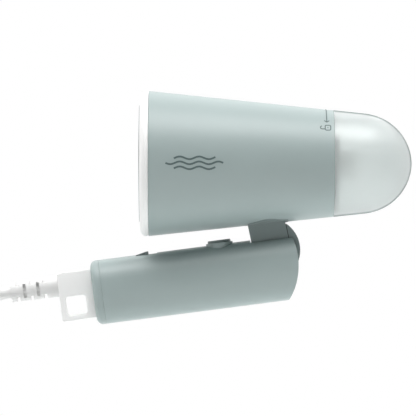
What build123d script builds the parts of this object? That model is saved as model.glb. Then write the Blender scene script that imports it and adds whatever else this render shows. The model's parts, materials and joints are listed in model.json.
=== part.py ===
from build123d import *
import os
from math import asin, cos, pi, radians, sin, sqrt, tan

os.makedirs("parts", exist_ok=True)

# Folding travel garment steamer. Millimetres. The origin is on the handle's axis at mid grip,
# +X runs along the head towards its water tank, +Y is across the handle and +Z is up.

# ---------------------------------------------------------------- driving dimensions
# Head: one cone from the heated face to the tank, about an axis parallel to X
HEAD_Z = 71.0                 # height of the head's axis
PLATE_X = -33.4               # front of the heated plate
BEZEL_X = -32.8               # front of the white bezel
SEAM_X = -27.4                # bezel to housing
TANK_X = 85.0                 # housing to tank
TIP_X = 132.7                 # end of the tank's dome
FRONT_R = 44.3                # radius at the bezel
TAPER = 0.105                 # radius lost per millimetre along the head
HEAD_WALL = 2.2
BEND_X = 104.0                # where the tank's taper turns into its dome
TANK_WALL = 1.8
DOME_POWER = 1.9              # the dome is a superellipse of this power

# Handle: a rounded square tube, tilted so that it rises towards the hinge
TILT = 7.4                    # degrees
GRIP_R = 19.6                 # half height and half width
GRIP_WALL = 2.2
SIDE_ARC = 32.0               # radius of the four nearly flat sides
CORNER_ARC = 15.0             # radius of the four corners
CAP_S = -56.0                 # end cap's joint, measured along the handle
CAP_END_S = -62.4             # outer face of the end cap
END_ARC = 42.5                # radius of the handle's convex hinge end
END_S, END_T = 21.9, 6.1      # centre of that arc

# Hinge: the head's neck turns on a cross pin between two solid ears of the handle
PIVOT_S, PIVOT_T = 47.1, 12.3
NECK_LEAN = 12.0              # degrees that the neck leans from the head's normal
NECK_BACK = -8.9              # rear face of the neck from the pivot
NECK_FRONT = 13.6             # front face of the neck, where the shield starts
SHIELD_GAP = 0.45             # visible seam between neck and shield
KNUCKLE_R = 19.5
NECK_HALF = 9.0
SLOT_HALF = 9.4
SLOT_LOW = -6.8               # lower edge of the opening between the ears
PIN_R = 2.5
PIN_HALF = 13.0               # half length of the pin, blind in both ears
OPEN_ANGLE = 90.0
PLUNGER_T = PIVOT_T - 0.7     # height of the sprung plunger that clicks against the neck

# Controls on top of the handle
TRIGGER_S = 18.2
TRIGGER_LONG, TRIGGER_WIDE = 7.0, 9.9     # half sizes of the button
TRIGGER_TOP = 22.2
SLIDER_S = -29.4
SLIDER_TRAVEL = 5.0
SHELF_T = -1.8                # top of the shelf that carries the switches

# Hanging loop, strain relief and cord
LOOP_NEAR_S, LOOP_FAR_S = -63.0, -82.4
LOOP_HALF_T, LOOP_HALF_Y = 14.9, 9.0
LOOP_HOLE_S, LOOP_HOLE_T = -72.9, -5.9
TONGUE_WIDE, TONGUE_TALL = 14.0, 23.8     # part of the loop that sits in the end cap
RELIEF_T = 6.8
RELIEF_R = 6.4
RELIEF_END_S = -111.4
CORD_R = 3.65
CORD_BORE = CORD_R + 0.05
FLOOR_Z = -115.0              # surface on which the coiled cord lies, below the held steamer
TIE_T = 1.0
COIL_X, COIL_Y = -100.0, 12.0
COIL_R = 40.0                 # mean radius of the coil
COIL_WIDE, COIL_TALL = 4, 2   # turns side by side in the lower layer, and layers
NEST = 0.87                   # height of a layer laid in the grooves of the one below, in diameters
PLUG_HALF_Z = 13.0
PLUG_PITCH, PLUG_PIN_R, PLUG_PIN_LONG = 19.0, 2.4, 19.0

# ---------------------------------------------------------------- frames and helpers
U = Vector(cos(radians(TILT)), 0, sin(radians(TILT)))
V = Vector(-sin(radians(TILT)), 0, cos(radians(TILT)))
ACROSS = Vector(0, 1, 0)
HEAD_SIDE = Plane(origin=(0, 0, HEAD_Z), x_dir=(1, 0, 0), z_dir=(0, -1, 0))
HEAD_AXIS = Axis((0, 0, HEAD_Z), (1, 0, 0))
GRIP_SIDE = Plane(origin=(0, 0, 0), x_dir=U, z_dir=(0, -1, 0))
PIVOT = U * PIVOT_S + V * PIVOT_T
LEAN = radians(NECK_LEAN)
NECK_SIDE = Plane(origin=PIVOT, x_dir=(cos(LEAN), 0, sin(LEAN)), z_dir=(0, -1, 0))
NECK_UP = Vector(-sin(LEAN), 0, cos(LEAN))
NECK_OUT = Vector(cos(LEAN), 0, sin(LEAN))


def head_cross(x, y=0.0, z=0.0):
    """Plane across the head, facing the tank, with its origin y and z off the head's axis."""
    return Plane(origin=(x, y, HEAD_Z + z), x_dir=(0, 1, 0), z_dir=(1, 0, 0))


def grip_cross(s, y=0.0, t=0.0):
    """Plane across the handle at s along it, facing the hinge end."""
    return Plane(origin=U * s + V * t + ACROSS * y, x_dir=(0, 1, 0), z_dir=U)


def grip_top(s, t):
    """Plane on top of the handle, facing away from its axis, with x along the handle."""
    return Plane(origin=U * s + V * t, x_dir=U, z_dir=V)


def grip_side(s, t, y=0.0):
    """Plane along the handle, facing -Y, with its origin at s, t and y."""
    return Plane(origin=U * s + V * t + ACROSS * y, x_dir=U, z_dir=(0, -1, 0))


def head_side(x, r):
    """Plane through the head's axis, facing -Y, with its origin at x and r above the axis."""
    return Plane(origin=(x, 0, HEAD_Z + r), x_dir=(1, 0, 0), z_dir=(0, -1, 0))


def head_r(x):
    """Outer radius of the head's cone."""
    return FRONT_R - TAPER * (x - SEAM_X)


def outline(plane, *points):
    """Closed straight-sided profile."""
    with BuildSketch(plane) as sketch:
        with BuildLine():
            Polyline(*points, close=True)
        make_face()
    return sketch.sketch


def rounded_box(plane, long, wide, corner):
    with BuildSketch(plane) as sketch:
        RectangleRounded(long, wide, corner)
    return sketch.sketch


def disc(plane, radius, hole=0.0):
    with BuildSketch(plane) as sketch:
        Circle(radius)
        if hole:
            Circle(hole, mode=Mode.SUBTRACT)
    return sketch.sketch


def squircle(plane, inset=0.0):
    """Handle section: four nearly flat arcs joined by four tangent corner arcs."""
    side_c = GRIP_R - SIDE_ARC
    gap = SIDE_ARC - CORNER_ARC
    corner_c = (side_c + sqrt(2 * gap ** 2 - side_c ** 2)) / 2
    lean = asin(corner_c / gap)
    side_r, corner_r = SIDE_ARC - inset, CORNER_ARC - inset
    x, y = side_r * sin(lean), side_c + side_r * cos(lean)
    diagonal = corner_c + corner_r / sqrt(2)
    with BuildSketch(plane) as sketch:
        with BuildLine():
            for c, d in ((1, 0), (0, 1), (-1, 0), (0, -1)):
                # (c, d) turns a point by a quarter turn at a time
                first = (c * -x - d * y, d * -x + c * y)
                top = (-d * (GRIP_R - inset), c * (GRIP_R - inset))
                last = (c * x - d * y, d * x + c * y)
                ThreePointArc(first, top, last)
                bend = (c * diagonal - d * diagonal, d * diagonal + c * diagonal)
                after = (c * y - d * x, d * y + c * x)
                ThreePointArc(last, bend, after)
        make_face()
    return sketch.sketch


def save(part, name):
    part.part.label = name
    export_step(part.part, f"parts/{name}.step")


def dome_points(inset):
    """Superellipse from the end of the tank's taper to its tip."""
    long, tall = TIP_X - BEND_X - inset, head_r(BEND_X) - inset
    turns = [radians(a) for a in (90, 66, 42, 20, 0)]
    power = 2 / DOME_POWER
    return [(BEND_X + long * max(cos(a), 0) ** power, tall * sin(a) ** power) for a in turns]


# ---------------------------------------------------------------- head: hot end
with BuildPart() as soleplate:
    revolve(outline(HEAD_SIDE, (PLATE_X + 0.8, 0), (PLATE_X, 0), (PLATE_X, 35.4), (PLATE_X + 1.0, 36.4),
                    (-31.6, 36.4), (-31.6, 0)), axis=HEAD_AXIS)
    for count, ring in ((6, 11.0), (12, 20.0), (18, 29.0)):
        with BuildSketch(head_cross(PLATE_X - 1)):
            with PolarLocations(ring, count):
                Circle(1.1)
        extrude(amount=6, mode=Mode.SUBTRACT)
save(soleplate, "soleplate")

with BuildPart() as plate_gasket:
    extrude(disc(head_cross(BEZEL_X + 0.3), 38.7, 36.5), amount=2.5)
save(plate_gasket, "plate_gasket")

with BuildPart() as front_bezel:
    revolve(outline(HEAD_SIDE, (-30.0, 38.8), (BEZEL_X + 0.2, 38.8), (BEZEL_X, 39.4),
                    (BEZEL_X + 0.2, FRONT_R - 4.0), (BEZEL_X + 1.0, FRONT_R - 1.4),
                    (BEZEL_X + 2.0, FRONT_R - 0.35), (BEZEL_X + 3.4, FRONT_R),
                    (SEAM_X - 0.3, FRONT_R), (SEAM_X - 0.3, 41.6), (-21.0, 41.2), (-21.0, 39.4),
                    (-30.0, 39.4)), axis=HEAD_AXIS)
save(front_bezel, "front_bezel")

BOILER_BACK = -16.0
ELEMENT_R = 25.0              # radius of the ring-shaped heating element
ELEMENT_ARC = 300             # degrees of the ring that it fills
with BuildPart() as boiler:
    revolve(outline(HEAD_SIDE, (-31.6, 29.0), (-31.6, 35.6), (-20.0, 35.6), (BOILER_BACK, 33.0),
                    (BOILER_BACK, 0), (-23.0, 0), (-23.0, 29.0)), axis=HEAD_AXIS)
    with BuildSketch(head_cross(-23.0)):
        with PolarLocations(14.5, 3, start_angle=30):
            SlotOverall(16.0, 3.0)
    extrude(amount=-7.0)
    revolve(disc(head_side(BOILER_BACK, ELEMENT_R), 3.4), axis=HEAD_AXIS, mode=Mode.SUBTRACT)
    extrude(disc(head_cross(-24.0), 1.5), amount=10, mode=Mode.SUBTRACT)
save(boiler, "boiler")

with BuildPart() as heating_element:
    revolve(disc(head_side(BOILER_BACK, ELEMENT_R), 3.3), axis=HEAD_AXIS, revolution_arc=ELEMENT_ARC)
    for turn in (0, ELEMENT_ARC):
        a = radians(turn)
        # the terminals leave backwards at the two ends of the ring
        extrude(disc(head_cross(BOILER_BACK, -ELEMENT_R * sin(a), ELEMENT_R * cos(a)), 2.0), amount=9.0)
save(heating_element, "heating_element")

with BuildPart() as boiler_carrier:
    extrude(disc(head_cross(-15.9), head_r(-15.9) - HEAD_WALL - 0.5, 30.0), amount=3.0)
save(boiler_carrier, "boiler_carrier")

with BuildPart() as boiler_screws:
    for spot in PolarLocations(31.6, 4, start_angle=15):
        x, y = spot.position.X, spot.position.Y
        extrude(disc(head_cross(-12.9, x, y), 3.0), amount=2.2)
save(boiler_screws, "boiler_screws")

with BuildPart() as thermostat:
    extrude(disc(head_cross(BOILER_BACK, 0, -12.0), 8.0), amount=5.0)
    extrude(disc(head_cross(BOILER_BACK + 5.0, 0, -12.0), 5.5), amount=3.0)
    with BuildSketch(head_cross(BOILER_BACK + 8.0, 0, -12.0)):
        with GridLocations(7.0, 0, 2, 1):
            Rectangle(0.8, 4.8)
    extrude(amount=6.0)
save(thermostat, "thermostat")

with BuildPart() as thermal_fuse:
    with BuildSketch(Plane(origin=(BOILER_BACK + 2.4, -9.0, HEAD_Z + 12.0), x_dir=(1, 0, 0),
                           z_dir=(0, 1, 0))):
        Circle(2.2)
    extrude(amount=18.0)
    with BuildSketch(head_cross(BOILER_BACK, 0, 12.0)):
        Rectangle(7.0, 9.0)
    extrude(amount=3.0)
save(thermal_fuse, "thermal_fuse")

with BuildPart() as heat_shield:
    extrude(disc(head_cross(-1.6), head_r(-1.6) - HEAD_WALL - 0.5, 3.6), amount=1.0)
    with BuildSketch(head_cross(-1.6)):
        with PolarLocations(26.0, 2, start_angle=90):
            SlotOverall(14.0, 5.0)
    extrude(amount=1.0, mode=Mode.SUBTRACT)
save(heat_shield, "heat_shield")

# ---------------------------------------------------------------- head: pump, water path and board
PUMP_A, PUMP_B = 6.0, 52.0
with BuildPart() as pump:
    extrude(disc(head_cross(PUMP_A + 5.0), 11.0), amount=PUMP_B - PUMP_A - 10.0)
    with BuildSketch(head_cross(15.0)):
        RectangleRounded(29.0, 30.0, 2.0)
    extrude(amount=25.0)
    extrude(disc(head_cross(PUMP_A - 1.0), 2.2), amount=PUMP_B - PUMP_A + 2.0)
    extrude(disc(head_cross(PUMP_A - 3.0), 1.0), amount=PUMP_B - PUMP_A + 6.0, mode=Mode.SUBTRACT)
save(pump, "pump")

with BuildPart() as pump_mounts:
    for x in (PUMP_A + 5.5, PUMP_B - 9.5):
        extrude(disc(head_cross(x), 14.5, 11.05), amount=3.5)
save(pump_mounts, "pump_mounts")

with BuildPart() as pump_cradle:
    for x in (PUMP_A + 5.5, PUMP_B - 9.5):
        with BuildSketch(head_cross(x)):
            with Locations((0, -12.5)):
                Rectangle(36.0, 15.0)
            Circle(14.55, mode=Mode.SUBTRACT)
        extrude(amount=3.5)
    with BuildSketch(head_cross(PUMP_A + 5.5)):
        with Locations((0, -19.0)):
            Rectangle(36.0, 2.4)
    extrude(amount=PUMP_B - PUMP_A - 11.5)
save(pump_cradle, "pump_cradle")

with BuildPart() as outlet_hose:
    extrude(disc(head_cross(BOILER_BACK), 3.3, 2.25), amount=PUMP_A - BOILER_BACK + 5.0)
save(outlet_hose, "outlet_hose")

SEAT_BACK = 72.0
with BuildPart() as inlet_hose:
    extrude(disc(head_cross(PUMP_B - 5.0), 3.3, 2.25), amount=SEAT_BACK - PUMP_B + 4.9)
save(inlet_hose, "inlet_hose")

BOARD_Z = 20.0
with BuildPart() as control_board:
    with BuildSketch(Plane.XY.offset(HEAD_Z + BOARD_Z)):
        with Locations((30.0, 0)):
            Rectangle(48.0, 26.0)
    extrude(amount=1.6)
    with BuildSketch(Plane.XY.offset(HEAD_Z + BOARD_Z + 1.6)):
        with Locations((16.0, 4.0)):
            Rectangle(13.0, 10.0)
        with Locations((36.0, -5.0)):
            Rectangle(8.0, 8.0)
        with Locations((46.0, 6.0)):
            Circle(3.2)
    extrude(amount=5.0)
save(control_board, "control_board")

with BuildPart() as board_spacers:
    with BuildSketch(Plane.XY.offset(HEAD_Z + 15.0)):
        with Locations((27.5, 0)):
            with GridLocations(19.0, 18.0, 2, 2):
                Circle(2.2)
    extrude(amount=BOARD_Z - 15.0)
save(board_spacers, "board_spacers")

# ---------------------------------------------------------------- head: housing and tank seat
NECK_TOP = 24.0               # inner end of the neck, up from the pivot
NECK_FLANGE = 2.6
# neck screws and the depth of the boss under each: n, y, depth
SCREW_SPOTS = [(n, y, deep) for n, deep in ((NECK_BACK - 4.6, 5.0), (NECK_FRONT + 4.6, 8.2))
               for y in (-6.0, 6.0)]


def neck_cross(m, n=0.0, y=0.0):
    """Plane across the neck, m above the pivot, facing up the neck."""
    return Plane(origin=PIVOT + NECK_UP * m + NECK_OUT * n + ACROSS * y, x_dir=NECK_OUT, z_dir=NECK_UP)


with BuildPart() as head_shell:
    revolve(outline(HEAD_SIDE, (SEAM_X, head_r(SEAM_X)), (TANK_X, head_r(TANK_X)),
                    (TANK_X, head_r(TANK_X) - HEAD_WALL), (SEAM_X, head_r(SEAM_X) - HEAD_WALL)),
            axis=HEAD_AXIS)
    for n, y, deep in SCREW_SPOTS:
        extrude(disc(neck_cross(NECK_TOP, n, y), 3.0), amount=-deep)
    # opening through which the neck enters
    with BuildSketch(neck_cross(8.0)):
        with Locations(((NECK_BACK + NECK_FRONT) / 2, 0)):
            Rectangle(NECK_FRONT - NECK_BACK + 0.1, 2 * NECK_HALF + 0.1)
    extrude(amount=14.0, mode=Mode.SUBTRACT)
save(head_shell, "head_shell")

# Bayonet: three lugs of the tank turn behind three lips of the seat
SPIGOT_R, LUG_R = 23.6, 26.2
LUG_A, LUG_B = 78.4, 80.9
LUG_SPAN = 26.0               # degrees
UNLOCK = 32.0                 # degrees of turn from locked to free
with BuildPart() as tank_seat:
    revolve(outline(HEAD_SIDE, (SEAT_BACK, 0), (SEAT_BACK, head_r(SEAT_BACK) - HEAD_WALL - 0.1),
                    (TANK_X - 0.4, head_r(TANK_X - 0.4) - HEAD_WALL - 0.1), (TANK_X - 0.4, SPIGOT_R + 0.5),
                    (LUG_B + 0.5, SPIGOT_R + 0.5), (LUG_B + 0.5, LUG_R + 0.5), (LUG_A - 0.5, LUG_R + 0.5),
                    (SEAT_BACK + 2.4, LUG_R + 0.5), (SEAT_BACK + 2.4, 4.0), (86.0, 4.0), (86.0, 0)),
            axis=HEAD_AXIS)
    for lug in range(3):
        # entry slots through the lip, one unlocking turn away from the locked lugs
        with BuildSketch(head_cross(LUG_B)):
            with BuildLine():
                a0, a1 = 90 + 120 * lug + UNLOCK - LUG_SPAN / 2 - 2, LUG_SPAN + 4
                arc = CenterArc((0, 0), LUG_R + 0.5, a0, a1)
                Line((0, 0), arc @ 0)
                Line(arc @ 1, (0, 0))
            make_face()
            Circle(SPIGOT_R, mode=Mode.SUBTRACT)
        extrude(amount=TANK_X - LUG_B, mode=Mode.SUBTRACT)
    extrude(disc(head_cross(SEAT_BACK - 1), 1.5), amount=18, mode=Mode.SUBTRACT)
    extrude(disc(head_cross(SEAT_BACK - 1), 3.35), amount=2.0, mode=Mode.SUBTRACT)
save(tank_seat, "tank_seat")

# ---------------------------------------------------------------- neck
with BuildPart() as hinge_neck:
    with BuildSketch(NECK_SIDE):
        with BuildLine():
            low = sqrt(KNUCKLE_R ** 2 - NECK_FRONT ** 2) - 0.3
            back = NECK_BACK
            Line((NECK_FRONT, NECK_TOP), (back, NECK_TOP))
            Line((back, NECK_TOP), (back, 0))
            ThreePointArc((back, 0), (back * sin(pi / 4), back * sin(pi / 4)), (0, back))
            Line((0, back), (NECK_FRONT, -low))
            Line((NECK_FRONT, -low), (NECK_FRONT, NECK_TOP))
        make_face()
    extrude(amount=NECK_HALF, both=True)
    with BuildSketch(neck_cross(NECK_TOP)):
        with Locations(((NECK_BACK + NECK_FRONT) / 2, 0)):
            Rectangle(NECK_FRONT - NECK_BACK + 16.0, 20.0)
    extrude(amount=NECK_FLANGE)
    for n, y, deep in SCREW_SPOTS:
        extrude(disc(neck_cross(NECK_TOP, n, y), 1.7), amount=NECK_FLANGE, mode=Mode.SUBTRACT)
    extrude(disc(NECK_SIDE, PIN_R + 0.05), amount=NECK_HALF, both=True, mode=Mode.SUBTRACT)
    # passage for the wires
    with BuildSketch(neck_cross(6.0)):
        with Locations(((NECK_BACK + NECK_FRONT) / 2, 0)):
            SlotOverall(12.0, 7.0)
    extrude(amount=NECK_TOP, mode=Mode.SUBTRACT)
save(hinge_neck, "hinge_neck")

with BuildPart() as knuckle_shield:
    with BuildSketch(NECK_SIDE):
        Circle(KNUCKLE_R)
        with Locations((NECK_FRONT + SHIELD_GAP - KNUCKLE_R - 5, 0)):
            Rectangle(2 * KNUCKLE_R + 10, 2 * KNUCKLE_R + 10, mode=Mode.SUBTRACT)
    extrude(amount=NECK_HALF, both=True)
    # two pegs reach back to the neck
    with BuildSketch(Plane(origin=PIVOT + NECK_OUT * NECK_FRONT, x_dir=(0, 1, 0), z_dir=NECK_OUT)):
        with GridLocations(0, 9.0, 1, 2):
            Circle(1.8)
    extrude(amount=1.0)
save(knuckle_shield, "knuckle_shield")

with BuildPart() as neck_screws:
    for n, y, deep in SCREW_SPOTS:
        extrude(disc(neck_cross(NECK_TOP + NECK_FLANGE, n, y), 2.8), amount=1.8)
        extrude(disc(neck_cross(NECK_TOP, n, y), 1.6), amount=NECK_FLANGE)
save(neck_screws, "neck_screws")

# ---------------------------------------------------------------- water tank
with BuildPart() as water_tank:
    with BuildSketch(HEAD_SIDE):
        with BuildLine():
            outer, inner = dome_points(0), dome_points(TANK_WALL)
            front = TANK_X + 0.4
            Line((front, head_r(front)), outer[0])
            Spline(*outer, tangents=((1, -TAPER), (0, -1)))
            Line(outer[-1], inner[-1])
            Spline(*reversed(inner), tangents=((0, 1), (-1, TAPER)))
            Line(inner[0], (front, head_r(front) - TANK_WALL))
            Line((front, head_r(front) - TANK_WALL), (front, head_r(front)))
        make_face()
    revolve(axis=HEAD_AXIS)
save(water_tank, "water_tank")

with BuildPart() as tank_collar:
    rim = head_r(TANK_X + 0.4) - TANK_WALL - 0.1
    revolve(outline(HEAD_SIDE, (LUG_A, SPIGOT_R - 2.4), (LUG_A, SPIGOT_R), (TANK_X + 0.4, SPIGOT_R),
                    (TANK_X + 0.4, rim), (TANK_X + 3.0, rim - 0.3), (TANK_X + 3.0, 5.0), (LUG_A, 5.0),
                    (LUG_A, 7.2), (TANK_X + 0.4, 7.2), (TANK_X + 0.4, SPIGOT_R - 2.4)), axis=HEAD_AXIS)
    with BuildSketch(head_cross(LUG_A)):
        for lug in range(3):
            with BuildLine():
                arc = CenterArc((0, 0), LUG_R, 90 + 120 * lug - LUG_SPAN / 2, LUG_SPAN)
                Line((0, 0), arc @ 0)
                Line(arc @ 1, (0, 0))
            make_face()
        Circle(SPIGOT_R - 0.5, mode=Mode.SUBTRACT)
    extrude(amount=LUG_B - LUG_A)
    # filling hole
    extrude(disc(head_cross(TANK_X, 14.5, 0), 5.0), amount=4.0, mode=Mode.SUBTRACT)
save(tank_collar, "tank_collar")

with BuildPart() as tank_oring:
    revolve(disc(head_side(82.0, 4.65), 0.32), axis=HEAD_AXIS)
save(tank_oring, "tank_oring")

with BuildPart() as tank_valve:
    extrude(disc(head_cross(TANK_X + 3.0), 6.6), amount=1.6)
    extrude(disc(head_cross(TANK_X + 4.6), 2.0), amount=6.0)
    extrude(disc(head_cross(TANK_X + 3.0), 2.2), amount=-1.4)
save(tank_valve, "tank_valve")

with BuildPart() as valve_cage:
    extrude(disc(head_cross(TANK_X + 3.0), 9.0, 7.4), amount=9.0)
    with BuildSketch(head_cross(TANK_X + 3.0)):
        for turn in (0, 60, 120):
            with Locations(Location((0, 0, 0), (0, 0, turn))):
                Rectangle(3.6, 20.0)
    extrude(amount=7.4, mode=Mode.SUBTRACT)
    extrude(disc(head_cross(TANK_X + 12.0), 9.0, 2.4), amount=1.2)
save(valve_cage, "valve_cage")

with BuildPart() as filler_plug:
    extrude(disc(head_cross(TANK_X + 0.4, 14.5, 0), 6.4), amount=-1.6)
    extrude(disc(head_cross(TANK_X + 0.4, 14.5, 0), 4.9), amount=3.4)
save(filler_plug, "filler_plug")

# ---------------------------------------------------------------- handle shells
def slot_profile():
    """Side view of the space that the neck and its shield sweep between the ears."""
    clear = KNUCKLE_R + 0.5
    left = PIVOT_S + NECK_BACK - 1.2
    with BuildSketch(GRIP_SIDE) as sketch:
        with Locations((PIVOT_S, PIVOT_T)):
            Circle(clear)
        with Locations((left - 20.0, PIVOT_T + 17.0)):
            Rectangle(40.0, 40.0, mode=Mode.SUBTRACT)
        with Locations((left, SLOT_LOW)):
            Rectangle(40.0, 40.0, align=(Align.MIN, Align.MIN))
    return sketch.sketch


def open_head():
    """The head's cone, slightly grown, where it stands when the head is fully open."""
    with BuildPart() as cone:
        revolve(outline(HEAD_SIDE, (SEAM_X, 0), (SEAM_X, head_r(SEAM_X) + 0.4),
                        (TANK_X, head_r(TANK_X) + 0.4), (TANK_X, 0)), axis=HEAD_AXIS)
    return cone.part.rotate(Axis(PIVOT, (0, 1, 0)), OPEN_ANGLE)


def handle_blank(side):
    """One half of the handle, side -1 or +1 across, solid at the ears."""
    with BuildPart() as blank:
        extrude(squircle(grip_cross(CAP_S)), amount=130.0)
        with BuildSketch(GRIP_SIDE):
            with Locations((END_S, END_T)):
                Circle(END_ARC)
            with Locations((END_S, END_T)):
                Rectangle(160.0, 120.0, align=(Align.MAX, Align.CENTER))
        extrude(amount=30.0, both=True, mode=Mode.INTERSECT)
        extrude(squircle(grip_cross(CAP_S - 1), GRIP_WALL), amount=PIVOT_S + NECK_BACK - 5 - CAP_S,
                mode=Mode.SUBTRACT)
        extrude(slot_profile(), amount=SLOT_HALF, both=True, mode=Mode.SUBTRACT)
        extrude(disc(grip_side(PIVOT_S, PIVOT_T), PIN_R + 0.02), amount=PIN_HALF + 0.4, both=True,
                mode=Mode.SUBTRACT)
        add(open_head(), mode=Mode.SUBTRACT)
        extrude(disc(grip_cross(30.0, 0, PLUNGER_T), 1.95), amount=8.0, mode=Mode.SUBTRACT)
        # trigger and slider openings
        with BuildSketch(grip_top(TRIGGER_S, 0)):
            Ellipse(TRIGGER_LONG + 1.25, TRIGGER_WIDE + 1.25)
        extrude(amount=30.0, mode=Mode.SUBTRACT)
        with BuildSketch(grip_top(SLIDER_S + SLIDER_TRAVEL / 2, GRIP_R - 1.3)):
            RectangleRounded(2 * 4.3 + SLIDER_TRAVEL, 11.4, 1.5)
        extrude(amount=5.0, mode=Mode.SUBTRACT)
        with BuildSketch(grip_top(SLIDER_S + SLIDER_TRAVEL / 2, 0)):
            Rectangle(3.6 + SLIDER_TRAVEL, 3.6)
        extrude(amount=30.0, mode=Mode.SUBTRACT)
        with BuildSketch(grip_cross(CAP_S - 5)):
            with Locations((side * 30.0, 0)):
                Rectangle(60.0, 80.0)
        extrude(amount=160.0, mode=Mode.INTERSECT)
    return blank.part


SCREWS = [(-44.0, -9.0), (-6.0, -11.0), (28.0, -9.0)]
with BuildPart() as handle_shell_left:
    add(handle_blank(-1))
    for s, t in SCREWS:
        extrude(disc(grip_side(s, t), 3.2), amount=14.5)
        extrude(disc(grip_side(s, t), 1.2), amount=11.0, mode=Mode.SUBTRACT)
save(handle_shell_left, "handle_shell_left")

with BuildPart() as handle_shell_right:
    add(handle_blank(1))
    for s, t in SCREWS:
        extrude(disc(grip_side(s, t), 4.4), amount=-14.5)
        extrude(disc(grip_side(s, t), 1.6), amount=-12.0, mode=Mode.SUBTRACT)
        extrude(disc(grip_side(s, t, 8.0), 3.2), amount=-30.0,
                mode=Mode.SUBTRACT)
save(handle_shell_right, "handle_shell_right")

with BuildPart() as handle_screws:
    for s, t in SCREWS:
        extrude(disc(grip_side(s, t, 8.0), 2.9), amount=-2.0)
        extrude(disc(grip_side(s, t, -10.0), 1.15), amount=-18.0)
save(handle_screws, "handle_screws")

with BuildPart() as handle_end_cap:
    extrude(squircle(grip_cross(CAP_S - 0.3)), amount=CAP_END_S - CAP_S + 0.3)
    chamfer(handle_end_cap.faces().sort_by(Axis((0, 0, 0), U))[0].edges(), length=2.6)
    extrude(squircle(grip_cross(CAP_S - 0.3), GRIP_WALL + 0.1), amount=3.0)
    extrude(squircle(grip_cross(CAP_S - 2.3), GRIP_WALL + 2.0), amount=6.0, mode=Mode.SUBTRACT)
    with BuildSketch(grip_cross(CAP_END_S - 1)):
        RectangleRounded(TONGUE_WIDE + 0.1, TONGUE_TALL + 0.1, 2.0)
    extrude(amount=20.0, mode=Mode.SUBTRACT)
save(handle_end_cap, "handle_end_cap")

# ---------------------------------------------------------------- hinge pin and detent
with BuildPart() as hinge_pin:
    extrude(disc(grip_side(PIVOT_S, PIVOT_T), PIN_R), amount=PIN_HALF, both=True)
save(hinge_pin, "hinge_pin")

with BuildPart() as detent_plunger:
    extrude(disc(grip_cross(28.4, 0, PLUNGER_T), 3.0), amount=3.8)
    extrude(disc(grip_cross(32.2, 0, PLUNGER_T), 1.9), amount=5.4)
    fillet(detent_plunger.faces().sort_by(Axis((0, 0, 0), U))[-1].edges(), radius=1.7)
save(detent_plunger, "detent_plunger")

# ---------------------------------------------------------------- trigger and switches
with BuildPart() as trigger_button:
    with BuildSketch(grip_top(TRIGGER_S, 15.4)):
        Ellipse(TRIGGER_LONG, TRIGGER_WIDE)
    extrude(amount=TRIGGER_TOP - 15.4)
    chamfer(trigger_button.faces().sort_by(Axis((0, 0, 0), V))[-1].edges(), length=0.5)
    with BuildSketch(grip_top(TRIGGER_S, 15.4)):
        Ellipse(TRIGGER_LONG - 1.5, TRIGGER_WIDE - 1.5)
    extrude(amount=TRIGGER_TOP - 15.4 - 1.8, mode=Mode.SUBTRACT)
    with BuildSketch(grip_top(TRIGGER_S, 10.6)):
        Rectangle(3.0, 4.0)
    extrude(amount=TRIGGER_TOP - 10.6 - 1.0)
save(trigger_button, "trigger_button")

with BuildPart() as trigger_ring:
    with BuildSketch(grip_top(TRIGGER_S, 15.6)):
        Ellipse(TRIGGER_LONG + 1.2, TRIGGER_WIDE + 1.2)
    extrude(amount=20.7 - 15.6)
    chamfer(trigger_ring.faces().sort_by(Axis((0, 0, 0), V))[-1].edges(), length=0.7)
    with BuildSketch(grip_top(TRIGGER_S, 15.6)):
        Ellipse(TRIGGER_LONG + 0.3, TRIGGER_WIDE + 0.3)
    extrude(amount=8.0, mode=Mode.SUBTRACT)
save(trigger_ring, "trigger_ring")

with BuildPart() as micro_switch:
    with BuildSketch(grip_top(TRIGGER_S, 1.0)):
        Rectangle(13.0, 6.4)
    extrude(amount=6.4)
    with BuildSketch(grip_top(TRIGGER_S, 7.4)):
        Rectangle(2.6, 2.0)
    extrude(amount=0.9)
save(micro_switch, "micro_switch")

with BuildPart() as switch_carrier:
    with BuildSketch(grip_top(-8.5, SHELF_T - 1.6)):
        Rectangle(68.0, 34.0)
    extrude(amount=1.6)
    with BuildSketch(grip_top(TRIGGER_S, SHELF_T)):
        Rectangle(13.0, 8.0)
    extrude(amount=2.8)
save(switch_carrier, "switch_carrier")

with BuildPart() as power_slider:
    with BuildSketch(GRIP_SIDE):
        with BuildLine():
            bottom, top = GRIP_R - 1.1, GRIP_R + 1.3
            Polyline((SLIDER_S - 3.9, bottom), (SLIDER_S + 3.9, bottom), (SLIDER_S + 3.9, top),
                     (SLIDER_S + 2.6, top), (SLIDER_S - 3.9, GRIP_R - 0.1), close=True)
        make_face()
    extrude(amount=5.2, both=True)
    with BuildSketch(grip_top(SLIDER_S, 13.4)):
        Rectangle(3.0, 3.0)
    extrude(amount=GRIP_R - 1.0 - 13.4)
save(power_slider, "power_slider")

with BuildPart() as slide_switch:
    with BuildSketch(grip_top(SLIDER_S + SLIDER_TRAVEL / 2, SHELF_T)):
        Rectangle(18.0, 9.0)
    extrude(amount=12.1)
    with BuildSketch(grip_top(SLIDER_S + SLIDER_TRAVEL / 2, 10.3)):
        Rectangle(5.0 + SLIDER_TRAVEL, 4.6)
    extrude(amount=2.6)
save(slide_switch, "slide_switch")

with BuildPart() as terminal_block:
    with BuildSketch(grip_top(-6.0, SHELF_T)):
        Rectangle(16.0, 12.0)
    extrude(amount=8.0)
    with BuildSketch(grip_cross(-15.0, 0, 2.2)):
        with GridLocations(6.0, 0, 2, 1):
            Circle(1.7)
    extrude(amount=20.0, mode=Mode.SUBTRACT)
save(terminal_block, "terminal_block")

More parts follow.
